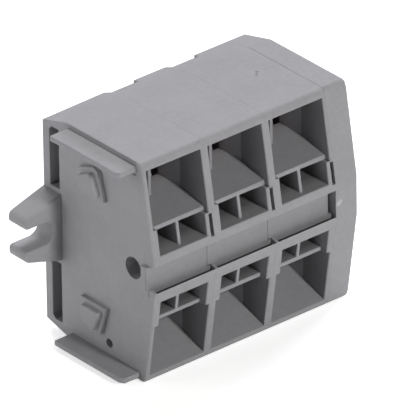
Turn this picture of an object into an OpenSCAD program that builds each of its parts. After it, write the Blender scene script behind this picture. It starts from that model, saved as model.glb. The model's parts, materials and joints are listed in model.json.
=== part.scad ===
// Spring-clamp terminal strip with fixing flanges.
// X runs along the strip, the wires enter from -Y, the mounting face lies in the plane Y = 0.
// Outlines are drawn as [depth, height]: depth is the distance in front of the mounting face,
// height is the distance above the middle of the strip.

/* [Strip] */
// Number of poles
poles = 3; // [2:1:5]
// Width of one pole
pitch = 8; // [7.6:0.1:10]
// Size across the strip, from one long side to the other
strip_w = 25.1; // [24.5:0.1:32]
// Depth from the mounting face to the front edges beside the marker groove
body_depth = 17.4; // [16.6:0.1:22]
// How much depth the front loses for each millimetre away from the groove
front_slope = 0.158; // [0.1:0.002:0.2]
// Thickness of the end plate
plate_t = 2.95; // [2.6:0.05:4]
// How far the front of the end plate stands back from the housings
plate_setback = 0.12; // [0.05:0.01:0.3]
// Radius of the rounded front edge along each long side
corner_r = 0.55; // [0.3:0.05:0.8]

/* [Base] */
// Half width of the mounting face
base_half = 11.5; // [10.8:0.1:12]
// Depth at which the long sides turn in towards the mounting face
fold_depth = 4.1; // [3.2:0.1:5]
// Thickness of the base between the mounting face and its channels
base_wall = 1.05; // [0.8:0.05:1.4]
// Depth of the floor that the busbar lies on
floor_depth = 3; // [2.8:0.1:3.6]
// Thickness of the wall between the channels and the busbar
floor_wall = 0.5; // [0.4:0.05:0.8]
// Half width of the solid middle of the base
middle_half = 4.3; // [4:0.1:5]
// Thickness of the rim outside the channels
channel_rim = 0.4; // [0.3:0.05:0.6]
// Chamfer in the outer corner of the channels
channel_chamfer = 0.4; // [0.2:0.05:0.6]
// Size of the relief along the back edge
back_relief = 0.3; // [0.1:0.05:0.5]
// Depth of that relief from the mounting face
relief_depth = 0.8; // [0.4:0.1:1]
// Distance from the left of a pole to the relief
relief_start = 0.2; // [0.1:0.05:0.4]
// Slant of the relief's left end
relief_slant = 0.4; // [0.1:0.05:0.6]

/* [Marker groove] */
// Half width of the groove mouth
groove_half = 1.5; // [1.2:0.1:2]
// Half width of the groove floor
groove_floor_half = 2.1; // [1.6:0.1:2.3]
// Depth of the groove
groove_deep = 0.85; // [0.5:0.05:1.2]
// Thickness of the web that closes the groove at the left of each pole
web_t = 0.35; // [0.25:0.05:0.6]
// How far the tongue of a housing reaches into the one beside it
tongue_len = 0.4; // [0.3:0.05:0.5]
// Length of the tongue from front to back
tongue_deep = 0.85; // [0.6:0.05:1]
// Gap round a tongue
tongue_gap = 0.12; // [0.05:0.01:0.2]
// How much narrower a tongue is than the groove mouth, at each edge
tongue_margin = 0.2; // [0.1:0.05:0.4]
// Depth, from the groove floor, of the notch that takes a tongue
notch_deep = 3.7; // [1.5:0.1:4]

/* [Wire entries] */
// Wall at the left of each wire funnel
left_wall = 0.55; // [0.5:0.05:0.8]
// Wall at the right of each wire funnel
right_wall = 0.4; // [0.35:0.05:0.6]
// Wall at the left of the driver slots and the clamp room
slot_wall = 1; // [0.8:0.05:1.2]
// Wall at the right of the driver slots
slot_right_wall = 0.85; // [0.7:0.05:1.1]
// Rib between the two wires of one funnel
rib_t = 0.4; // [0.3:0.05:0.6]
// Thickness of the rim along the long side of each funnel
rim_t = 0.85; // [0.7:0.05:1.1]
// Wall along the long side of the clamp room
side_wall = 1.05; // [0.9:0.05:1.3]
// Width of the bar between the groove and the upper driver slots
upper_ledge = 0.95; // [0.8:0.05:1.3]
// Width of the bar between the groove and the lower driver slots
lower_ledge = 1.35; // [0.8:0.05:1.5]
// Height of the driver slots
slot_h = 2.4; // [1.8:0.05:2.6]
// Thickness of the lip between the driver slots and the funnel
lip_t = 0.48; // [0.4:0.02:0.7]
// How far the upper lips stand back from the front
upper_recess = 0.7; // [0.5:0.05:1.4]
// How far the lower lips stand back from the front
lower_recess = 0.95; // [0.5:0.05:1.4]
// Distance from the groove edge back to the wire holes
hole_setback = 7.15; // [6.5:0.05:8]
// Height of a wire hole
hole_h = 3.05; // [2.6:0.05:3.3]
// Thickness of the wall round the wire holes
hole_wall = 0.75; // [0.6:0.05:1]
// How far the wire holes reach over the prongs of the busbar
hole_overlap = 1.5; // [1.2:0.05:1.7]
// Height above the wire holes at which the end walls of a funnel start to close in
pinch_h = 2.25; // [1.8:0.05:2.6]
// Height of the rib above the wire holes
rib_h = 1.75; // [1:0.05:2.2]
// Half thickness of the web between the two clamp rooms of a pole
web_half = 0.6; // [0.5:0.05:0.8]
// Width of the slit beside the upper driver slots
slit_w = 0.4; // [0.3:0.05:0.55]
// Depth of that slit
slit_deep = 4; // [2:0.5:6]
// How far the slit reaches below the lower edge of the driver slots
slit_shift = 0.2; // [0:0.05:0.25]
// How far the slit ends below their upper edge
slit_top = 0.15; // [0.1:0.05:0.4]

/* [Joining pins] */
// Diameter of the large joining pins
pin_d = 2.3; // [1.8:0.1:2.4]
// Diameter of the small joining pins
small_pin_d = 0.9; // [0.7:0.05:1]
// Length of the large joining pins
pin_len = 2.2; // [1:0.1:2.4]
// Length of the small joining pins
small_pin_len = 0.9; // [0.6:0.1:1.2]
// Distance from the front back to the middle of the large pins
pin_setback = 3.3; // [3:0.1:4]
// Height of the large pins above the middle of the strip
pin_rise = 0.2; // [0:0.05:0.3]
// Distance of the small pins' middle behind the floor of the funnels
small_pin_sink = 0.15; // [0:0.05:0.3]
// Distance of the small pins' middle from the lower long side
small_pin_margin = 2.35; // [2:0.05:2.6]
// Gap between a pin and its socket
fit_gap = 0.05; // [0.03:0.01:0.1]

/* [Fixing lugs] */
// Length of a lug from the end of the strip
lug_len = 4.55; // [3.8:0.05:5]
// Half width of a lug where it leaves the strip
lug_root_half = 3.85; // [3.6:0.05:4.2]
// Half width of a lug at its tips
lug_tip_half = 2.6; // [2.5:0.05:3.2]
// Thickness of a lug
lug_t = 2.75; // [2:0.05:3]
// Width of the screw slot, for an M2.5 screw
slot_w = 2.55; // [2.3:0.05:2.6]
// Distance from the end of the strip to the middle of the round end of the slot
slot_x = 2.08; // [1.9:0.02:2.5]
// Outer radius of the lug tips
tip_r = 0.6; // [0.3:0.05:0.7]
// Radius of the lug tips beside the screw slot
tip_inner_r = 0.4; // [0.2:0.05:0.5]

/* [Left end] */
// Length of the two cover flaps
flap_len = 2.3; // [1.5:0.1:3]
// Thickness of the flaps
flap_t = 0.6; // [0.5:0.05:0.9]
// Step from a long side of the strip down to a flap
flap_step = 0.4; // [0.3:0.05:0.6]
// Depth at which the flaps end
flap_front = 14.8; // [12:0.1:15]
// Chamfer on the front corner of the flaps, twice as long from front to back
flap_chamfer = 0.3; // [0.1:0.05:0.4]
// Back inner corner of the pegs, as depth and height
peg_place = [6.2, 6.1];
// Outline of the lower stage of the pegs from that corner
peg_base = [[0, 0], [4, 0], [3.05, 3.3], [2.4, 3.5], [0, 2.6]];
// Outline of the upper stage of the pegs from that corner
peg_top = [[0.6, 0.55], [3.4, 0.55], [2.4, 3], [0.6, 2.15]];
// Height of the lower stage of the two pegs
peg_step_h = 0.5; // [0.3:0.05:0.7]
// Full height of the pegs
peg_h = 1.07; // [0.9:0.01:1.3]
// Step of the end face along its edges
base_step = 0.1; // [0.05:0.05:0.2]
// Depth of that step from the mounting face
step_depth = 3; // [2.8:0.1:3.4]
// Half width of the face inside that step
step_half = 11; // [10.6:0.05:11.4]

/* [Contacts] */
// Thickness of the busbar strip
bar_t = 0.8; // [0.6:0.05:1]
// Width of each of the four prongs
prong_w = 1.3; // [1:0.05:1.35]
// Height of the outer face of the prongs
prong_out = 8; // [7.8:0.05:8.4]
// Chamfers at the tips and in the bends of the prongs
bar_chamfer = 0.2; // [0.1:0.05:0.3]
// Distance from the inner face of the prongs back to the end of the strip across the pole
bar_setback = 0.3; // [0.2:0.05:0.4]
// Gap between the tips of the prongs and the wall in front of them
tip_gap = 0.1; // [0.05:0.05:0.2]
// Thickness of the clamp strip
strip_t = 0.4; // [0.3:0.02:0.5]
// Width of a clamp cage
cage_w = 2.5; // [2.3:0.05:2.6]
// Width of the window in a cage
window_w = 1.5; // [1.4:0.05:1.6]
// Width of the bow of a clamp
bow_w = 2.1; // [1.6:0.1:2.3]
// Radius of the middle of the bow strip
bow_r = 1.6; // [1.4:0.05:1.7]
// Radius of the bend between the bow and the cage
bow_foot_r = 0.6; // [0.4:0.05:0.8]
// Gap between the bow and the wall in front of it
bow_gap = 0.1; // [0.05:0.05:0.2]
// Length of the straight leg of the bow under the prong
contact_len = 0.6; // [0.3:0.1:1]
// Distance from the wall in front of the clamps back to the middle of the cages
cage_setback = 3.1; // [2.8:0.1:3.4]
// Height of the bar of a cage that presses the wire
cross_h = 0.7; // [0.5:0.05:0.9]
// How far a cage moves when a screwdriver opens it
cage_travel = 1.6; // [1.2:0.1:1.8]
// Room between the window edge and the prong when the cage is open
window_room = 0.3; // [0.1:0.05:0.5]
// Gap between the parts of a clamp and the busbar
clamp_gap = 0.05; // [0.03:0.01:0.08]

/* [Hidden] */
eps = 0.01;
beyond = 2;
half_w = strip_w / 2;
strip_len = poles * pitch + plate_t;
left_end = -strip_len / 2;
right_end = strip_len / 2;
flap_root = base_step + eps;
lug_taper = atan((lug_root_half - lug_tip_half) / lug_len);

hole_depth = body_depth - hole_setback;
chamber_front = hole_depth - hole_wall;
pinch_depth = hole_depth + pinch_h;
rib_front = hole_depth + rib_h;
prong_in = prong_out - bar_t;
hole_in = prong_out - hole_overlap;
hole_out = hole_in + hole_h;
mouth_out = half_w - rim_t;
chamber_out = half_w - side_wall;
groove_depth = body_depth - groove_deep;
plate_front = body_depth - plate_setback;

slot_right = pitch - slot_right_wall;
rib_left = (slot_wall + slot_right - rib_t) / 2;
rib_right = rib_left + rib_t;
clamp_x = [(slot_wall + rib_left) / 2, (rib_right + slot_right) / 2];

pin_place = [body_depth - pin_setback, pin_rise];
small_pin_place = [hole_depth - small_pin_sink, small_pin_margin - half_w];
tongue_half = groove_half - tongue_margin;
notch_x = pitch - tongue_len - tongue_gap;

bar_front = floor_depth + bar_t;
tip_front = chamber_front - tip_gap;
cage_depth = chamber_front - cage_setback;
bow_centre = [chamber_front - bow_gap - strip_t / 2 - bow_r, prong_in - clamp_gap - strip_t / 2 - bow_r];
cage_in = bow_centre[1] - bow_r + bow_foot_r;
cross_in = prong_out + clamp_gap;
window_in = prong_in - cage_travel - window_room;

plastic = [0.70, 0.70, 0.69];
copper = [0.80, 0.52, 0.38];
steel = [0.72, 0.72, 0.74];

rows = ["upper", "lower"];
sides = ["left", "right"];
clamp_names = [for (p = [1:poles]) for (r = rows) for (s = sides) str(r, "_", s, "_", p)];

// Depth of the front face at a height
function front_at(h) = body_depth - front_slope * max(0, abs(h) - groove_half);

// Width of the bar beside the groove in a row
function ledge(row) = row == "upper" ? upper_ledge : lower_ledge;

// Points of an arc about c
function arc(c, r, from, to, steps = 6) =
    [for (i = [0:steps]) c + r * [cos(from + (to - from) * i / steps), sin(from + (to - from) * i / steps)]];

// A list of points with its mirror image below the middle, in reverse order
function mirrored(points) =
    concat(points, [for (i = [len(points) - 1:-1:0]) [points[i][0], -points[i][1]]]);

// Outline of the strip above the middle, from the mounting face to a front corner
function side_edge(last) = concat(
    [[0, base_half], [fold_depth, half_w]],
    arc([front_at(half_w) - corner_r, half_w - corner_r], corner_r, 90, atan(front_slope), 4),
    [[front_at(mouth_out), mouth_out], last]
);

// Extrude an outline drawn as [depth, height] along the strip
module along(x_from, x_to)
    translate([x_from, 0, 0])
        rotate([90, 0, 90])
            linear_extrude(x_to - x_from)
                mirror([1, 0])
                    children();

// Extrude an outline drawn as [x, depth] upwards
module upwards(z_from, z_to)
    translate([0, 0, z_from])
        linear_extrude(z_to - z_from)
            mirror([0, 1])
                children();

// Round rod along the strip at a place given as [depth, height]
module rod(x_from, x_to, d, place)
    translate([x_from, -place[0], place[1]])
        rotate([0, 90, 0])
            cylinder(h = x_to - x_from, d = d, $fn = 48);

// Put the children in a row: as drawn in the upper, upside down in the lower
module in_row(row)
    mirror([0, 0, row == "upper" ? 0 : 1])
        children();

// Everything cut out for the wires and the screwdrivers of one row
module wire_entry(row) {
    slot_in = groove_half + ledge(row);
    slot_out = slot_in + slot_h;
    lip_out = slot_out + lip_t;
    recess = row == "upper" ? upper_recess : lower_recess;
    lip_depth = front_at(lip_out) - recess;
    outside = body_depth + beyond;
    intersection() {
        along(0, pitch)
            polygon([
                [outside, lip_out], [lip_depth, lip_out], [hole_depth, hole_in],
                [hole_depth, hole_out], [front_at(mouth_out), mouth_out], [outside, mouth_out]
            ]);
        upwards(0, half_w)
            polygon([
                [left_wall, outside], [left_wall, pinch_depth], [slot_wall, hole_depth],
                [rib_left, hole_depth], [rib_left, rib_front], [rib_right, rib_front],
                [rib_right, hole_depth], [slot_right, hole_depth],
                [pitch - right_wall, pinch_depth], [pitch - right_wall, outside]
            ]);
    }
    along(slot_wall, slot_right)
        polygon([
            [front_at(slot_in) - recess, slot_in], [front_at(lip_out + eps) - recess, lip_out + eps],
            [outside, lip_out + eps], [outside, slot_in]
        ]);
    for (x = [[slot_wall, rib_left], [rib_right, slot_right]]) {
        along(x[0], x[1])
            polygon([
                [chamber_front - eps, slot_in], [chamber_front - eps, slot_out],
                [body_depth, slot_out], [body_depth, slot_in]
            ]);
        along(x[0], x[1])
            polygon([
                [chamber_front - eps, hole_in], [chamber_front - eps, hole_out],
                [hole_depth + eps, hole_out], [hole_depth + eps, hole_in]
            ]);
    }
    if (row == "upper") {
        along(slot_wall, pitch - right_wall)
            polygon([
                [front_at(slot_out) - recess, slot_out], [front_at(lip_out + eps) - recess, lip_out + eps],
                [outside, lip_out + eps], [outside, slot_out]
            ]);
        along(pitch - slit_w, pitch + eps)
            polygon([
                [body_depth - slit_deep, slot_in - slit_shift],
                [body_depth - slit_deep, slot_out - slit_top],
                [outside, slot_out - slit_top], [outside, slot_in - slit_shift]
            ]);
    }
}

// Room of one row in which the clamps move, open to the right
module clamp_room()
    along(slot_wall, pitch + eps)
        polygon([
            [floor_depth, web_half], [floor_depth, chamber_out],
            [chamber_front, chamber_out], [chamber_front, web_half]
        ]);

// Way for the busbar through the middle web
module busbar_way()
    along(slot_wall, pitch + eps)
        polygon(mirrored([[floor_depth, web_half + eps], [bar_front + clamp_gap, web_half + eps]]));

// Channels through the base, one above and one below the solid middle
module base_channels(x_from, x_to)
    for (row = rows)
        in_row(row)
            along(x_from, x_to)
                polygon([
                    [base_wall, middle_half], [base_wall, base_half - channel_rim - channel_chamfer],
                    [base_wall + channel_chamfer, base_half - channel_rim],
                    [floor_depth - floor_wall, base_half - channel_rim],
                    [floor_depth - floor_wall, middle_half]
                ]);

// Dovetail groove for marker strips, closed by a thin web at the left
module marker_groove() {
    outside = body_depth + beyond;
    along(web_t, pitch + eps)
        polygon(mirrored([
            [outside, groove_half], [body_depth, groove_half], [groove_depth, groove_floor_half]
        ]));
    along(-eps, web_t + eps)
        polygon(mirrored([[outside, groove_half], [body_depth, groove_half], [groove_depth, tongue_half]]));
}

// Rectangle from one depth to another, of a half height about the middle
module band(depth_from, depth_to, half)
    translate([depth_from, -half])
        square([depth_to - depth_from, 2 * half]);

// One pole's housing with its left face at x = 0
module housing_shell() {
    difference() {
        along(0, pitch)
            polygon(mirrored(side_edge([body_depth, groove_half])));
        for (row = rows)
            in_row(row) {
                wire_entry(row);
                clamp_room();
            }
        busbar_way();
        base_channels(-eps, pitch + eps);
        marker_groove();
        along(notch_x, pitch + eps)
            band(groove_depth - notch_deep, groove_depth + eps, tongue_half + tongue_gap);
        rod(-eps, pin_len + fit_gap, pin_d + 2 * fit_gap, pin_place);
        rod(-eps, small_pin_len + fit_gap, small_pin_d + 2 * fit_gap, small_pin_place);
    }
    along(-tongue_len, eps)
        band(groove_depth - tongue_deep, groove_depth, tongue_half);
    rod(notch_x - eps, pitch + pin_len, pin_d, pin_place);
    rod(pitch - eps, pitch + small_pin_len, small_pin_d, small_pin_place);
}

// Fork lug that points to -X from x = 0 and lies on the mounting face
module lug()
    rotate([90, 0, 0])
        linear_extrude(lug_t)
            difference() {
                polygon(mirrored(concat(
                    [[left_wall, lug_root_half], [0, lug_root_half]],
                    arc([tip_r - lug_len, lug_tip_half - tip_r], tip_r, 90 + lug_taper, 180, 5),
                    arc([tip_inner_r - lug_len, slot_w / 2 + tip_inner_r], tip_inner_r, 180, 270, 5),
                    [[-slot_x, slot_w / 2]]
                )));
                translate([-slot_x, 0])
                    circle(d = slot_w, $fn = 64);
            }

// Two-stage peg on the left end
module peg() {
    along(-peg_step_h, eps)
        translate(peg_place)
            polygon(peg_base);
    along(-peg_h, eps)
        translate(peg_place)
            polygon(peg_top);
}

// Cover flap along a long side of the left end
module flap()
    upwards(half_w - flap_step - flap_t, half_w - flap_step)
        polygon([
            [flap_root, fold_depth], [-flap_len, fold_depth],
            [-flap_len, flap_front - 2 * flap_chamfer],
            [flap_chamfer - flap_len, flap_front], [flap_root, flap_front]
        ]);

// First housing, with the fixing lug, the flaps and the pegs
module flange_housing()
    color(plastic)
        translate([left_end, 0, 0]) {
            difference() {
                housing_shell();
                along(-eps, base_step)
                    polygon(mirrored([
                        [-eps, half_w + eps], [flap_front, half_w + eps],
                        [flap_front, step_half], [step_depth, step_half]
                    ]));
            }
            lug();
            for (row = rows)
                in_row(row) {
                    peg();
                    flap();
                }
        }

// A further housing, with a relief along the left half of its back edges
module housing(i)
    color(plastic)
        translate([left_end + i * pitch, 0, 0])
            difference() {
                housing_shell();
                for (row = rows)
                    in_row(row)
                        upwards(base_half - back_relief, half_w)
                            polygon([
                                [relief_start, -eps], [relief_start + relief_slant, relief_depth],
                                [pitch / 2, relief_depth], [pitch / 2, -eps]
                            ]);
            }

// End plate with the second fixing lug
module end_plate()
    color(plastic)
        translate([right_end, 0, 0])
            difference() {
                union() {
                    along(-plate_t, 0)
                        polygon(mirrored(side_edge([
                            plate_front, groove_half + plate_setback / front_slope
                        ])));
                    mirror([1, 0, 0])
                        lug();
                }
                rod(-plate_t - eps, pin_len + fit_gap - plate_t, pin_d + 2 * fit_gap, pin_place);
                rod(
                    -plate_t - eps, small_pin_len + fit_gap - plate_t,
                    small_pin_d + 2 * fit_gap, small_pin_place
                );
            }

// Copper busbar of one pole: a strip across the pole with two prongs at each end
module busbar(i)
    color(copper)
        translate([left_end + i * pitch, 0, 0]) {
            along(slot_wall + clamp_gap, slot_right)
                polygon(mirrored([
                    [floor_depth, prong_in - bar_setback], [bar_front, prong_in - bar_setback]
                ]));
            for (row = rows, x = clamp_x)
                in_row(row)
                    along(x - prong_w / 2, x + prong_w / 2)
                        polygon(concat(
                            [[floor_depth, prong_in - bar_setback - eps]],
                            arc([bar_front, prong_in], bar_t, 180, 90, 5),
                            [
                                [tip_front - bar_chamfer, prong_out], [tip_front, prong_out - bar_chamfer],
                                [tip_front, prong_in + bar_chamfer], [tip_front - bar_chamfer, prong_in],
                                [bar_front + bar_chamfer, prong_in], [bar_front, prong_in - bar_chamfer],
                                [bar_front, prong_in - bar_setback - eps]
                            ]
                        ));
        }

// Window leg of a clamp, which slides outwards when the clamp is opened
module clamp_cage(i, row, x)
    color(steel)
        translate([left_end + i * pitch + x, 0, 0])
            in_row(row)
                difference() {
                    along(-cage_w / 2, cage_w / 2)
                        polygon([
                            [cage_depth - strip_t / 2, cage_in],
                            [cage_depth - strip_t / 2, cross_in + cross_h],
                            [cage_depth + strip_t / 2, cross_in + cross_h],
                            [cage_depth + strip_t / 2, cage_in]
                        ]);
                    along(-window_w / 2, window_w / 2)
                        polygon([
                            [cage_depth - strip_t, window_in], [cage_depth - strip_t, cross_in],
                            [cage_depth + strip_t, cross_in], [cage_depth + strip_t, window_in]
                        ]);
                }

// Bow of a clamp, from its contact leg under the prong round to the foot of the cage
module clamp_bow(i, row, x)
    color(steel)
        translate([left_end + i * pitch + x, 0, 0])
            in_row(row)
                along(-bow_w / 2, bow_w / 2)
                    polygon(concat(
                        [[bow_centre[0] - contact_len, bow_centre[1] + bow_r + strip_t / 2]],
                        arc(bow_centre, bow_r + strip_t / 2, 90, -90, 16),
                        arc([cage_depth + bow_foot_r, cage_in], bow_foot_r + strip_t / 2, 270, 180, 6),
                        arc([cage_depth + bow_foot_r, cage_in], bow_foot_r - strip_t / 2, 180, 270, 6),
                        arc(bow_centre, bow_r - strip_t / 2, -90, 90, 16),
                        [[bow_centre[0] - contact_len, bow_centre[1] + bow_r - strip_t / 2]]
                    ));

flange_housing();
for (i = [1:poles - 1])
    housing(i);
end_plate();
for (i = [0:poles - 1]) {
    busbar(i);
    for (row = rows, s = [0, 1]) {
        name = str(row, "_", sides[s], "_", i + 1);
        clamp_cage(i, row, clamp_x[s]);
        clamp_bow(i, row, clamp_x[s]);
    }
}
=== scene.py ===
# %% [markdown]
# # A spring-clamp terminal strip
#
# The strip joins wires in three poles. Each pole is a small housing of grey polyamide that is open at its
# right side, so the next housing closes it, and an end plate closes the last one. A copper bar lies across
# each pole, and a spring clamp at each of its four prongs holds a wire. This lesson starts from the
# finished CAD model, which fixes every size, and makes it look like the real thing: soft moulded edges,
# the marks of the mould, and materials built from nodes.

# %% Load the CAD model
import json
import math

import bpy
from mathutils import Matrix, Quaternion, Vector


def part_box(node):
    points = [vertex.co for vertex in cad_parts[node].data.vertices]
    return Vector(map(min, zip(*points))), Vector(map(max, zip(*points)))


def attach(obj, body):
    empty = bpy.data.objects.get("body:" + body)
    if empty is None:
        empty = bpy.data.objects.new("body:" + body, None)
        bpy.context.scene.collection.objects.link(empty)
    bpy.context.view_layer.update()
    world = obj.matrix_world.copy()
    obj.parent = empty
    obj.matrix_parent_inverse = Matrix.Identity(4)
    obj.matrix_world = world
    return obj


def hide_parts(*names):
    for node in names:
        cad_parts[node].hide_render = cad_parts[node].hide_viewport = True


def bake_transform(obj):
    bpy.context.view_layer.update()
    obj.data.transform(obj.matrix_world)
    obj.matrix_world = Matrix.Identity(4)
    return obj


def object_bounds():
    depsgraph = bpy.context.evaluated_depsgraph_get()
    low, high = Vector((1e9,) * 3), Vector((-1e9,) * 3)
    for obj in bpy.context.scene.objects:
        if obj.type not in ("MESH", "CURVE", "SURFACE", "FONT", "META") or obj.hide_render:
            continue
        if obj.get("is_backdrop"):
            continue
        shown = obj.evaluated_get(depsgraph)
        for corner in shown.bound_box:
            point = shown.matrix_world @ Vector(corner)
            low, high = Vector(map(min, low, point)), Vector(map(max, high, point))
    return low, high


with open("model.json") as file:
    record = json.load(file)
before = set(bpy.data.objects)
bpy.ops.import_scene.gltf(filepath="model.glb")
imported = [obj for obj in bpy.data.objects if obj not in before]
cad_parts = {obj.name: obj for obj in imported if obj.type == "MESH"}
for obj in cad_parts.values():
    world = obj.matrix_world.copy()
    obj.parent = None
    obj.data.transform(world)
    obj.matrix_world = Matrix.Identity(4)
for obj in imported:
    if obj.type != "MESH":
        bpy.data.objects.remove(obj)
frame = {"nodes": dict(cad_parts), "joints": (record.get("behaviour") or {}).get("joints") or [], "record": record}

MM = 0.001
cad_low, cad_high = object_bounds()
print("CAD box in mm:", [round(v / MM, 2) for v in (cad_high - cad_low)])

# %% [markdown]
# ## The camera
#
# Small products are often shot with a long lens from a good distance, which keeps edges that run away from
# the lens nearly parallel. The camera is placed by where it looks, by its angle round the object and above
# the horizon, and by its distance. A last small turn about its own axis levels the picture.

# %% Place the camera
AIM = Vector((0.43, -9.14, -0.11)) * MM
AZIMUTH = math.radians(-39.74)
ELEVATION = math.radians(29.18)
DISTANCE = 1239.57 * MM
ROLL = math.radians(-0.91)
SENSOR_WIDTH, LENS = 36, 1065.5     # in millimetres of a full-frame camera
NEAREST, FURTHEST = 0.1, 10

back = Vector((
    math.sin(AZIMUTH) * math.cos(ELEVATION),
    -math.cos(AZIMUTH) * math.cos(ELEVATION),
    math.sin(ELEVATION),
))
bpy.ops.object.camera_add(location=AIM + back * DISTANCE)
camera = bpy.context.object
camera.name = "camera"
camera.rotation_mode = "QUATERNION"
camera.rotation_quaternion = (-back).to_track_quat("-Z", "Y") @ Quaternion((0, 0, 1), ROLL)
camera.data.sensor_width = SENSOR_WIDTH
camera.data.lens = LENS
camera.data.clip_start = NEAREST
camera.data.clip_end = FURTHEST
bpy.context.scene.camera = camera
print("camera at", [round(v, 3) for v in camera.location])

# %% [markdown]
# ## Writing shader maths in Python
#
# A procedural material is a chain of nodes, and most of them do sums. They can be placed and linked by hand,
# one Math node for each sign. Here `Value` wraps one output of a node, so that `grain * 0.5 + 1` adds the
# Math nodes for us, and a long sum stays readable. Every other node comes from `Finish.node`, which takes
# the node's type, its settings, and what goes into its sockets.

# %% A wrapped socket and a material builder
TO_MM = 1000


class Value:
    """One output of a node, which can be used in sums."""

    def __init__(self, finish, socket):
        self.finish = finish
        self.socket = socket

    def sum(self, operation, first, second):
        return self.finish.node("Math", {"operation": operation}, {0: first, 1: second})

    def __add__(self, other):
        return self.sum("ADD", self, other)

    def __sub__(self, other):
        return self.sum("SUBTRACT", self, other)

    def __rsub__(self, other):
        return self.sum("SUBTRACT", other, self)

    def __mul__(self, other):
        return self.sum("MULTIPLY", self, other)

    def __mod__(self, other):
        return self.sum("MODULO", self, other)

    def __abs__(self):
        return self.finish.node("Math", {"operation": "ABSOLUTE"}, {0: self})

    __radd__ = __add__
    __rmul__ = __mul__


class Finish:
    """A new material, and the one way its nodes are made."""

    def __init__(self, name):
        self.material = bpy.data.materials.new(name)
        self.material.use_nodes = True
        self.tree = self.material.node_tree
        self.tree.nodes.clear()

    def node(self, kind, settings=None, sockets=None, output=0):
        made = self.tree.nodes.new("ShaderNode" + kind)
        for name, value in (settings or {}).items():
            if name == "stops":
                for place, (position, grey) in enumerate(value):
                    ramp = made.color_ramp.elements
                    stop = ramp[place] if place < 2 else ramp.new(position)
                    stop.position = position
                    stop.color = (grey, grey, grey, 1)
            else:
                setattr(made, name, value)
        for name, value in (sockets or {}).items():
            if isinstance(value, Value):
                self.tree.links.new(value.socket, made.inputs[name])
            else:
                made.inputs[name].default_value = value
        return Value(self, made.outputs[output])

    def here(self):
        """The place on the object, in metres."""
        return self.node("TexCoord", output="Object")

    def noise(self, size, detail=2, where=None):
        """Soft random grey whose patches are about `size` metres across."""
        return self.node("TexNoise", {}, {
            "Vector": where or self.here(), "Scale": 1 / size, "Detail": detail,
        })

    def between(self, amount, first, second):
        """A colour between two colours."""
        return self.node("Mix", {"data_type": "RGBA"}, {0: amount, 6: first, 7: second}, output=2)

    def part(self, vector, axis):
        """One number of a vector: 0 for x, 1 for y, 2 for z."""
        return self.node("SeparateXYZ", {}, {0: vector}, output=axis)

    def place(self):
        """The three coordinates of a point, in millimetres."""
        here = self.here()
        return [self.part(here, axis) * TO_MM for axis in range(3)]

    def facing(self, axis):
        """How far the surface faces along an axis, from -1 to 1."""
        return self.part(self.node("TexCoord", output="Normal"), axis)

    def ramp(self, value, start, end):
        """0 below start and 1 above end, with a straight rise between them."""
        return self.node("MapRange", {}, {"Value": value, "From Min": start, "From Max": end})

    def band(self, value, low, high, soft=0.02):
        """1 between low and high, 0 outside, with edges `soft` wide."""
        return self.ramp(value, low - soft, low) * self.ramp(value, high + soft, high)

    def surface(self, shader):
        end = self.tree.nodes.new("ShaderNodeOutputMaterial")
        self.tree.links.new(shader.socket, end.inputs["Surface"])
        print("finish", self.material.name, "has", len(self.tree.nodes), "nodes")
        return self.material


# %% [markdown]
# ## Grey moulded plastic
#
# Polyamide comes out of the mould matt, because the steel is spark-eroded to a very fine texture. Seen close
# up it isn't one flat grey: the melt leaves faint clouds, and handling leaves a mottle and a few small marks.
# One noise would make spots of one size, so three of different sizes are added. The bump is tiny, a hundredth
# of a millimetre, so it only breaks up the highlights.
#
# Three places are darkened with painted shade, mixed into the colour towards black: the side walls of the wire
# funnels, more the deeper they go, the rooms behind the driver slots, and the floor of the marker groove, most
# along its lower edge. They could be separate materials, but then each would end at a face. Masks made from
# the coordinates say where each begins, and can fade out in the middle of one.

# %% Colours of the plastic and its marks
# Under these lamps the record's grey comes out slightly paler than the real plastic, so it is scaled down.
GREY_SCALE = 0.84
GREY = tuple(GREY_SCALE * c for c in frame["record"]["materials"][0]["base_color"])
LIGHTEST, DARKEST = 1.065, 0.935
# The colour that the painted shade is mixed towards, in the funnels, behind the slots and in the groove.
PAINTED_SHADE_BLACK = (0.01, 0.009, 0.008, 1)
PALE = (0.44, 0.44, 0.45, 1)
DARK = (0.2, 0.195, 0.2, 1)
# Small marks of handling: the place in metres, the radius in millimetres, and the colour.
SCUFFS = [
    ((0.01088, -0.01728, -0.00016), 0.36, PALE),
    ((0.01113, -0.01728, 0.00002), 0.32, PALE),
    ((-0.00593, -0.01561, 0.01255), 0.3, DARK),
    ((0.00776, -0.00846, 0.01255), 0.26, DARK),
    ((0.00752, -0.00872, 0.01255), 0.16, DARK),
    ((0.00729, -0.00894, 0.01255), 0.24, DARK),
]


def shade(colour, factor=1.0):
    """A lighter or darker colour, with the fourth number that a colour socket wants."""
    return tuple(min(1.0, c * factor) for c in colour[:3]) + (1.0,)


print("grey:", [round(c, 3) for c in GREY], "with", len(SCUFFS), "small marks")

# %% Where the three patches of painted shade lie, in millimetres
STRIP_LEFT, POLE_WIDTH = -13.475, 8.0
BEFORE_PLATE = (10.5, 10.4)                 # across x, fading out at the end plate
FUNNEL_Y, FUNNEL_Z, FUNNEL_IN_POLE = (-16.7, -12.5), (5.2, 11.9), (0.4, 7.7)
ROOM_START, ROOM_END = (-16.0, -14.6), (-4.0, -5.0)
ROOM_Z, ROOM_IN_POLE = (2.3, 5.35), (0.95, 7.2)
GROOVE_Y, GROOVE_Z = (-16.62, -16.4), (-2.2, 1.52)
# The painted shade in the groove grows from 0.6 mm above the middle down to 1.5 mm below it.
GROOVE_SHADE_RISE = (0.6, -1.5)
# The painted shade on the funnel walls grows between these two depths.
FUNNEL_INWARD = (-16.0, -13.4)
SIDEWAYS = (0.975, 0.99)                    # how squarely a wall faces along x


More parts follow.
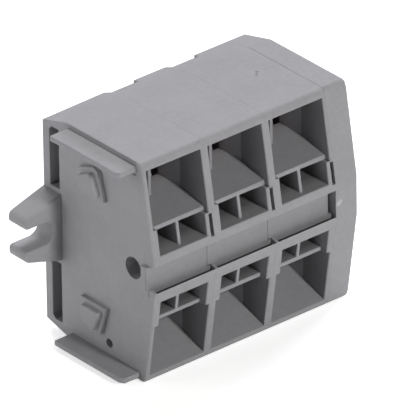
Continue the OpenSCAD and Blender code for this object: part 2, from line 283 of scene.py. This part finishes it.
def painted_shade_masks(f):
    """Three masks of painted shade: on the funnels' side walls, behind the driver slots and in the marker groove.
    """
    x, y, z = f.place()
    height_off = abs(z)
    in_pole = (x - STRIP_LEFT) % POLE_WIDTH
    before_plate = f.ramp(x, *BEFORE_PLATE)
    # Painted shade on the side walls of the funnels, darker further in.
    walls = (
        f.band(y, *FUNNEL_Y) * f.band(height_off, *FUNNEL_Z) * f.band(in_pole, *FUNNEL_IN_POLE)
        * f.ramp(abs(f.facing(0)), *SIDEWAYS) * before_plate
    )
    # Painted shade deep in the rooms behind the driver slots.
    rooms = (
        f.ramp(y, *ROOM_START) * f.ramp(y, *ROOM_END) * f.band(height_off, *ROOM_Z)
        * f.band(in_pole, *ROOM_IN_POLE) * before_plate
    )
    # Painted shade on the floor of the marker groove.
    groove = f.band(y, *GROOVE_Y) * f.band(z, *GROOVE_Z) * before_plate
    # How strong the painted shade is: stronger deeper in the funnels, even behind the slots, stronger towards the
    # groove's lower edge.
    return (
        walls * (f.ramp(y, *FUNNEL_INWARD) * 0.3 + 0.16),
        rooms * 0.45,
        groove * (f.ramp(z, *GROOVE_SHADE_RISE) * 0.14 + 0.16),
    )


# %% The plastic
def moulded_plastic(name):
    f = Finish(name)
    clouds = f.noise(3.2 * MM, detail=3)
    mottle = f.noise(0.55 * MM, detail=3)
    grain = f.noise(0.07 * MM)
    tone = clouds * 0.36 + mottle * 0.4 + grain * 0.24
    tone = f.node("ValToRGB", {"stops": [(0.36, 0.0), (0.64, 1.0)]}, {"Fac": tone})
    colour = f.between(tone, shade(GREY, DARKEST), shade(GREY, LIGHTEST))
    # Painted shade: the colour is mixed towards black on the funnel walls, behind the slots and in the groove.
    walls, rooms, groove = painted_shade_masks(f)
    colour = f.between(walls, colour, PAINTED_SHADE_BLACK)
    # Painted shade behind the driver slots.
    colour = f.between(rooms, colour, PAINTED_SHADE_BLACK)
    for place, radius, tint in SCUFFS:
        away = f.node("VectorMath", {"operation": "DISTANCE"}, {0: f.here(), 1: place}, output=1)
        colour = f.between(f.ramp(away * TO_MM, radius, radius / 2), colour, tint)
    # Painted shade in the groove, darkest along its lower edge.
    colour = f.between(groove, colour, PAINTED_SHADE_BLACK)
    height = grain * 0.6 + mottle * 0.4
    bump = f.node("Bump", {}, {"Height": height, "Distance": 0.012 * MM, "Strength": 0.6})
    return f.surface(f.node("BsdfPrincipled", {}, {
        "Base Color": colour, "Roughness": f.noise(1.1 * MM) * 0.12 + 0.5, "Normal": bump,
        "IOR": 1.5, "Specular IOR Level": 0.3,
    }))


plastic = moulded_plastic("grey_polyamide")

# %% [markdown]
# ## Copper and spring steel
#
# The bars are punched from copper strip and the clamps from stainless spring strip. Both are rolled, so
# their faint lines run along the strip, and neither is polished. A picture of brushed metal could be used,
# but a noise that is squeezed across and stretched along gives the same lines at any size. A second, coarser
# noise is the tarnish.

# %% The metals
COPPER, TARNISHED = (0.86, 0.50, 0.36), (0.70, 0.36, 0.24)
STEEL, DULL = (0.66, 0.65, 0.64), (0.50, 0.49, 0.48)
STRETCHED = (1.0, 0.12, 0.12)


def rolled_metal(name, colour, dark, roughness):
    f = Finish(name)
    along = f.node("Mapping", {"vector_type": "POINT"}, {"Vector": f.here(), "Scale": STRETCHED})
    lines = f.noise(0.12 * MM, detail=3, where=along)
    tarnish = f.noise(1.6 * MM, detail=3)
    tone = tarnish * 0.6 + lines * 0.4
    tone = f.node("ValToRGB", {"stops": [(0.35, 0.0), (0.7, 1.0)]}, {"Fac": tone})
    bump = f.node("Bump", {}, {"Height": lines, "Distance": 0.01 * MM, "Strength": 0.5})
    return f.surface(f.node("BsdfPrincipled", {}, {
        "Base Color": f.between(tone, shade(dark), shade(colour)),
        "Roughness": lines * 0.16 + roughness, "Normal": bump, "Metallic": 1.0,
    }))


copper = rolled_metal("dull_copper", COPPER, TARNISHED, 0.26)
steel = rolled_metal("spring_steel", STEEL, DULL, 0.22)

# %% [markdown]
# ## Soft edges on the moulded parts
#
# CAD edges are perfectly sharp, and no moulded edge is: the steel of the mould is rounded where it was cut,
# and every outer edge of the part catches a thin line of light. We copy each housing, merge the loose
# triangles of the copy into whole faces, and bevel its outer edges. The faces that meet the next housing
# stay nearly sharp, because a mould closes there and two parts that touch show only a hair line. Bevel
# weights let both widths be cut in one go, so that the corners where they meet come out clean.

# %% Helpers for copying and rounding
SMOOTH_BELOW = math.radians(38)
RIDGE_ABOVE = math.radians(28)
SAME_PLANE = math.radians(1)
SAME_POINT = 0.001 * MM
FACE_WEIGHT = 100                   # the flat faces decide the shading, not the bevels beside them


def pick(obj):
    """Makes obj the only selected and active object."""
    for other in bpy.context.selected_objects:
        other.select_set(False)
    obj.hide_set(False)
    obj.select_set(True)
    bpy.context.view_layer.objects.active = obj


def apply_all(obj):
    """Applies every modifier of obj, in order."""
    pick(obj)
    for modifier in list(obj.modifiers):
        bpy.ops.object.modifier_apply(modifier=modifier.name)


def merged_copy(node, name):
    """A copy of a CAD node with its own mesh, its triangles merged into whole flat faces."""
    copy = bpy.data.objects.new(name, frame["nodes"][node].data.copy())
    copy.data.name = name
    bpy.context.scene.collection.objects.link(copy)
    pick(copy)
    bpy.ops.object.mode_set(mode="EDIT")
    bpy.ops.mesh.select_all(action="SELECT")
    bpy.ops.mesh.remove_doubles(threshold=SAME_POINT)
    bpy.ops.mesh.dissolve_limited(angle_limit=SAME_PLANE)
    bpy.ops.mesh.normals_make_consistent(inside=False)
    bpy.ops.object.mode_set(mode="OBJECT")
    return copy


def sharp_edges(mesh):
    """Each sharp edge that sticks out, with its two ends; inner corners are left alone."""
    sides = {}
    for face in mesh.polygons:
        corners = list(face.vertices)
        for first, second in zip(corners, corners[1:] + corners[:1]):
            sides.setdefault(frozenset((first, second)), []).append((face.normal.copy(), first, second))
    for edge in mesh.edges:
        around = sides[frozenset(edge.vertices)]
        if len(around) != 2 or around[0][0].angle(around[1][0]) < RIDGE_ABOVE:
            continue
        (normal, first, second), (other, _, _) = around
        start, end = mesh.vertices[first].co, mesh.vertices[second].co
        # Seen from outside, a face runs round anticlockwise, which tells a ridge from a hollow.
        if normal.cross(other).dot(end - start) > 0:
            yield edge, start, end


def round_edges(obj, width, weight_of, segments=3):
    """Bevels the ridges of obj. weight_of gives each one's share of the full width."""
    mesh = obj.data
    weights = mesh.attributes.new("bevel_weight_edge", "FLOAT", "EDGE")
    count = 0
    for edge, start, end in sharp_edges(mesh):
        weights.data[edge.index].value = weight_of(start, end)
        count += 1
    bevel = obj.modifiers.new("soft edges", "BEVEL")
    bevel.limit_method = "WEIGHT"
    bevel.width = width
    bevel.segments = segments
    bevel.use_clamp_overlap = False
    bevel.miter_outer = "MITER_SHARP"
    apply_all(obj)
    pick(obj)
    bpy.ops.object.shade_smooth_by_angle(angle=SMOOTH_BELOW)
    even = obj.modifiers.new("even shading", "WEIGHTED_NORMAL")
    even.keep_sharp = True
    even.weight = FACE_WEIGHT
    apply_all(obj)
    print(obj.name, "has", count, "rounded ridges and", len(obj.data.polygons), "faces")


def finish_piece(obj, body, material):
    """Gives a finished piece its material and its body."""
    obj.data.materials.clear()
    obj.data.materials.append(material)
    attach(obj, body)
    return obj


# %% [markdown]
# ## The housings and the end plate
#
# All four are moulded from the same grey, but their edges differ. The rim of each wire funnel is rolled over
# generously, so that strands don't catch on it. Most ridges have a tenth of a millimetre, the small tongues
# and notches in the marker groove less, and the ridges where two housings meet almost none. The end plate's
# seam is a little wider at the long sides, where the plate isn't drawn in quite as tightly. A list of picked
# edges would be lost if the CAD changed, so a function looks at where each ridge lies.

# %% Where the ridges lie
POLE = 8 * MM
PLATE = 2.95 * MM
HOUSINGS = ["flange_housing", "housing_2", "housing_3"]
strip_right = (3 * POLE + PLATE) / 2
housing_left = {name: -strip_right + i * POLE for i, name in enumerate(HOUSINGS)}
seam_planes = [-strip_right + i * POLE for i in (1, 2, 3)]
FRONT = -cad_low.y

# Heights above or below the middle of the strip.
RIM_HEIGHT = 11.7 * MM
BASE_HALF = 11 * MM
LONG_SIDE = 12 * MM
LUG_HALF = 5 * MM
PEG_TOP = 10.5 * MM
GROOVE_HALF = 2.2 * MM
WALL_FROM = 1.4 * MM
NOTCH_LOW, NOTCH_HIGH = 2.1 * MM, 4.9 * MM
# Depths in front of the mounting face, and distances back from the front.
LUG_FRONT = 2.75 * MM
CHANNEL_FRONT = 3 * MM
FLAP_FRONT = 14.8 * MM
WALL_BACK, FUNNEL_BACK, SLOT_BACK = 3 * MM, 2.2 * MM, 0.9 * MM
GROOVE_BACK, GROOVE_NEAR = 5 * MM, 0.1 * MM
# Distances from a pole's left face, and the pegs' distance past the strip's end.
FUNNEL_RIGHT = 7.6 * MM
SLOT_RIGHT = 7.15 * MM
PEG_OUT = 0.3 * MM

WIDEST = 0.3 * MM
SHORTEST = 0.12 * MM
CLOSE = 0.01 * MM
PLAIN, PLATE_SEAM, FINE, SEAM = 0.1 / 0.3, 0.08 / 0.3, 0.05 / 0.3, 0.02 / 0.3
PEG, WALL, LUG = 0.16 / 0.3, 0.2 / 0.3, 0.26 / 0.3
print("poles start at", [round(left / MM, 3) for left in housing_left.values()], "mm")


# %% How far each ridge is rounded
def near(a, b):
    return abs(a - b) < CLOSE


def end_face_share(start, end, deep):
    """The share of a ridge on the strip's left end face, or None if nothing special is there."""
    at_step = near(start.y, end.y) and any(near(-start.y, step) for step in (CHANNEL_FRONT, FLAP_FRONT))
    if at_step or all(near(abs(point.z), BASE_HALF) for point in (start, end)):
        return SEAM
    if deep > FRONT - WALL_BACK and min(abs(start.z), abs(end.z)) > WALL_FROM:
        return WALL
    return None


def funnel_share(place, end_place, start, end, deep, high):
    """The share of a ridge at a funnel, a driver slot or a notch, or None."""
    flat_in_x = near(place, end_place)
    if all(near(abs(point.z), RIM_HEIGHT) for point in (start, end)) and deep > FRONT - WALL_BACK:
        return 1.0
    if flat_in_x and near(place, FUNNEL_RIGHT) and deep > FRONT - FUNNEL_BACK and high > LUG_HALF:
        return WALL
    if flat_in_x and near(place, SLOT_RIGHT) and deep > FRONT - SLOT_BACK:
        return WALL
    if min(place, end_place) > SLOT_RIGHT - CLOSE and NOTCH_LOW < start.z < NOTCH_HIGH:
        return FINE
    return None


def ridge_share(node):
    """A function that gives each ridge of a moulded part its share of the widest rounding."""

    def share(start, end):
        flat_in_x = near(start.x, end.x)
        high, deep = max(abs(start.z), abs(end.z)), min(-start.y, -end.y)
        if (start - end).length < SHORTEST:
            return SEAM
        past_end = min(abs(start.x), abs(end.x)) > strip_right - CLOSE
        if past_end and high < LUG_HALF and near(deep, LUG_FRONT):
            return LUG
        if flat_in_x and near(start.x, seam_planes[-1]):
            return PLATE_SEAM if min(abs(start.z), abs(end.z)) > LONG_SIDE else SEAM
        if flat_in_x and any(near(start.x, plane) for plane in seam_planes):
            return SEAM
        if max(start.x, end.x) < -strip_right - PEG_OUT and LUG_HALF < high < PEG_TOP:
            return PEG
        if node == "end_plate":
            return 1.0 if flat_in_x and near(start.x, strip_right) else PLAIN
        if flat_in_x and near(start.x, -strip_right):
            special = end_face_share(start, end, deep)
            if special is not None:
                return special
        if high < GROOVE_HALF and FRONT - GROOVE_BACK < deep < FRONT - GROOVE_NEAR:
            return FINE
        left = housing_left[node]
        special = funnel_share(start.x - left, end.x - left, start, end, deep, high)
        return PLAIN if special is None else special

    return share


# %% [markdown]
# ## Small corrections
#
# Three corrections are made by moving points before the edges are rounded. The floor round the wire
# holes is a little nearer to the mouth than the CAD has it, the gap at the tip of each tongue closes almost
# entirely when the housings are pressed together, and the upper cover flap lies slightly lower. Sculpting
# would bend the flat faces, so whole groups of points are selected by their place and moved by an operator.

# %% Move the funnel floors, close the gaps at the tongues and lower the flap
HOLE_PLANE, HOLE_NEARER, FUNNEL_FLOOR_HALF = 10.25 * MM, 0.5 * MM, 9.6 * MM
TONGUE_GAP_END, TONGUE_GAP = 7.48 * MM, 0.1 * MM
FLAP_ROOT, FLAP_DROP = 13.36 * MM, 0.13 * MM
FLAP_LOW, FLAP_HIGH = 11.5 * MM, 12.2 * MM


def shift_points(obj, chosen, shift):
    """Moves the points of obj for which chosen(point) is true."""
    pick(obj)
    bpy.ops.object.mode_set(mode="EDIT")
    bpy.ops.mesh.select_all(action="DESELECT")
    bpy.ops.object.mode_set(mode="OBJECT")
    points = [vertex for vertex in obj.data.vertices if chosen(vertex.co)]
    for vertex in points:
        vertex.select = True
    bpy.ops.object.mode_set(mode="EDIT")
    bpy.ops.mesh.select_mode(type="VERT")
    bpy.ops.transform.translate(value=shift)
    bpy.ops.object.mode_set(mode="OBJECT")
    print(obj.name, "had", len(points), "points moved")


def correct_housing(part, left):
    def on_floor(p):
        return abs(p.y + HOLE_PLANE) < SAME_POINT and abs(p.z) < FUNNEL_FLOOR_HALF

    def at_tongue(p):
        return near(p.x, left + TONGUE_GAP_END) and abs(p.z) < GROOVE_HALF

    def on_flap(p):
        return p.x < -FLAP_ROOT and FLAP_LOW < p.z < FLAP_HIGH

    shift_points(part, on_floor, (0, -HOLE_NEARER, 0))
    shift_points(part, at_tongue, (TONGUE_GAP, 0, 0))
    if left == min(housing_left.values()):
        shift_points(part, on_flap, (0, 0, -FLAP_DROP))


# %% Round the four moulded parts
for node in HOUSINGS + ["end_plate"]:
    part = merged_copy(node, "moulded_" + node)
    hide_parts(node)
    if node in HOUSINGS:
        correct_housing(part, housing_left[node])
    round_edges(part, WIDEST, ridge_share(node))
    finish_piece(part, "root", plastic)

# %% [markdown]
# ## The bars and the clamps
#
# Punching leaves a small burr, which is tumbled off, so every metal edge is rounded a little. Each clamp is
# one strip of spring steel. Its window leg slides past the bar when a blade presses on it, and its bow bends
# to let it. Here the leg is hung on the clamp's moving body, and the bow is rounded, given the steel and left
# where the CAD has it.

# %% Round the bars
BAR_ROUNDING, SPRING_ROUNDING = 0.06 * MM, 0.05 * MM
BOW_HEIGHT = 2.95 * MM


def all_alike(start, end):
    return 1.0


for node in ("busbar_1", "busbar_2", "busbar_3"):
    bar = merged_copy(node, "copper_" + node)
    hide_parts(node)
    round_edges(bar, BAR_ROUNDING, all_alike, segments=2)
    finish_piece(bar, "root", copper)

# %% Round the legs and the bows of the clamps
for joint in frame["joints"]:
    clamp = joint["name"].removeprefix("open_")
    cage = merged_copy("clamp_cage_" + clamp, "spring_cage_" + clamp)
    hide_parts("clamp_cage_" + clamp)
    round_edges(cage, SPRING_ROUNDING, all_alike, segments=2)
    finish_piece(cage, joint["child"], steel)

    bow = merged_copy("clamp_bow_" + clamp, "spring_bow_" + clamp)
    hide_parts("clamp_bow_" + clamp)
    round_edges(bow, SPRING_ROUNDING, all_alike, segments=2)
    bow.data.materials.clear()
    bow.data.materials.append(steel)
    low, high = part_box("clamp_bow_" + clamp)
    up = 1 if "upper" in clamp else -1
    contact = high.z if up > 0 else low.z
    contact - up * BOW_HEIGHT
    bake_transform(bow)

# %% [markdown]
# ## The floor
#
# Product pictures are taken on a pale sheet that fades to white. A floor that is bright enough to look white
# by itself would need so much light that the strip would be too pale. So the floor is plain and matt to the
# light, which lets it show the strip's shadow, and adds a glow only where the camera or a reflection looks
# at it. It lies a hair below the strip, because two faces in one plane flicker.

# %% The floor
FLOOR_SIZE = 6
FLOOR_GAP = 0.02 * MM
FLOOR_COLOUR = (0.9, 0.9, 0.9, 1)
FLOOR_GLOW = 0.62
WHITE = (1, 1, 1, 1)
bpy.ops.mesh.primitive_plane_add(size=FLOOR_SIZE, location=(0, 0, cad_low.z - FLOOR_GAP))
floor = bpy.context.object
floor.name = "floor"
f = Finish("pale_floor")
matt = f.node("BsdfDiffuse", {}, {"Color": FLOOR_COLOUR})
glow = f.node("Emission", {}, {"Color": WHITE, "Strength": FLOOR_GLOW})
glowing = f.node("AddShader", {}, {0: matt, 1: glow})
looked_at = f.node("LightPath", output="Is Camera Ray")
for ray in ("Is Glossy Ray", "Is Transmission Ray"):
    seen = f.node("LightPath", output=ray)
    looked_at = f.node("Math", {"operation": "MAXIMUM"}, {0: looked_at, 1: seen})
floor.data.materials.append(f.surface(f.node("MixShader", {}, {0: looked_at, 1: matt, 2: glowing})))
floor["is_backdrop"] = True

# %% [markdown]
# ## The world
#
# The room round the strip is nearly dark, so that the lamps alone shape it, but what the camera and the
# reflections see of it is white. The world's nodes are its own, and no finish is made for it, so they are
# placed and linked here by hand.

# %% The world
ROOM_LIGHT = 0.02
world = bpy.data.worlds.new("studio")
bpy.context.scene.world = world
world.use_nodes = True
tree = world.node_tree
tree.nodes.clear()


def world_node(kind, inputs, **settings):
    """A node of the world. An input is a number, a colour or another node's output."""
    made = tree.nodes.new("ShaderNode" + kind)
    for name, value in settings.items():
        setattr(made, name, value)
    for place, value in inputs.items():
        if isinstance(value, bpy.types.NodeSocket):
            tree.links.new(value, made.inputs[place])
        else:
            made.inputs[place].default_value = value
    return made.outputs[0] if made.outputs else made


rays = tree.nodes.new("ShaderNodeLightPath").outputs
looked_at = world_node(
    "Math", {0: rays["Is Camera Ray"], 1: rays["Is Glossy Ray"]}, operation="MAXIMUM"
)
looked_at = world_node("Math", {0: looked_at, 1: rays["Is Transmission Ray"]}, operation="MAXIMUM")
dim = world_node("Background", {"Color": (0.97, 0.98, 1.0, 1), "Strength": ROOM_LIGHT})
white = world_node("Background", {"Color": WHITE, "Strength": 1.0})
world_node("OutputWorld", {"Surface": world_node("MixShader", {0: looked_at, 1: dim, 2: white})})
print("the world has", len(tree.nodes), "nodes")

# %% [markdown]
# ## The lamps
#
# Matt plastic shows its shape by how bright each side is, so each side gets a lamp of its own. One stands
# above and behind for the top. One low on the right grazes the top and lights the right end. A small one in
# front lights the front and reaches into the funnels. The one for the left end face is very wide, so that
# the lug and the flaps throw no clear shadow on it. Together they stay at a level at which the grey renders
# about as it is written.

# %% The lamps
LAMP_DISTANCE = 1.4


def lamp(name, azimuth, elevation, width, power, colour=(1, 1, 1)):
    """A round softbox that faces the strip, placed by its angles round it and above the horizon."""
    turn, rise = math.radians(azimuth), math.radians(elevation)
    away = Vector((math.sin(turn) * math.cos(rise), -math.cos(turn) * math.cos(rise), math.sin(rise)))
    bpy.ops.object.light_add(type="AREA", location=AIM + away * LAMP_DISTANCE)
    made = bpy.context.object
    made.name = name
    made.data.shape = "DISK"
    made.data.size = width
    made.data.energy = power
    made.data.color = colour
    made.rotation_mode = "QUATERNION"
    made.rotation_quaternion = (-away).to_track_quat("-Z", "Y")
    print(name, "gives", power, "W")


lamp("softbox_above", 150, 62, 0.5, 9.6)
lamp("softbox_right", 110, 18, 0.5, 13.2, (1.0, 1.0, 1.08))
lamp("softbox_left", -120, 18, 1.4, 8.9)
lamp("lamp_front", 4, 25, 0.16, 11.2, (1.0, 1.0, 0.97))

# %% Set the view and print the visual box
bpy.context.scene.view_settings.view_transform = "Standard"
low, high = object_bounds()
print("visual box in mm:", [round(v / MM, 2) for v in (high - low)])
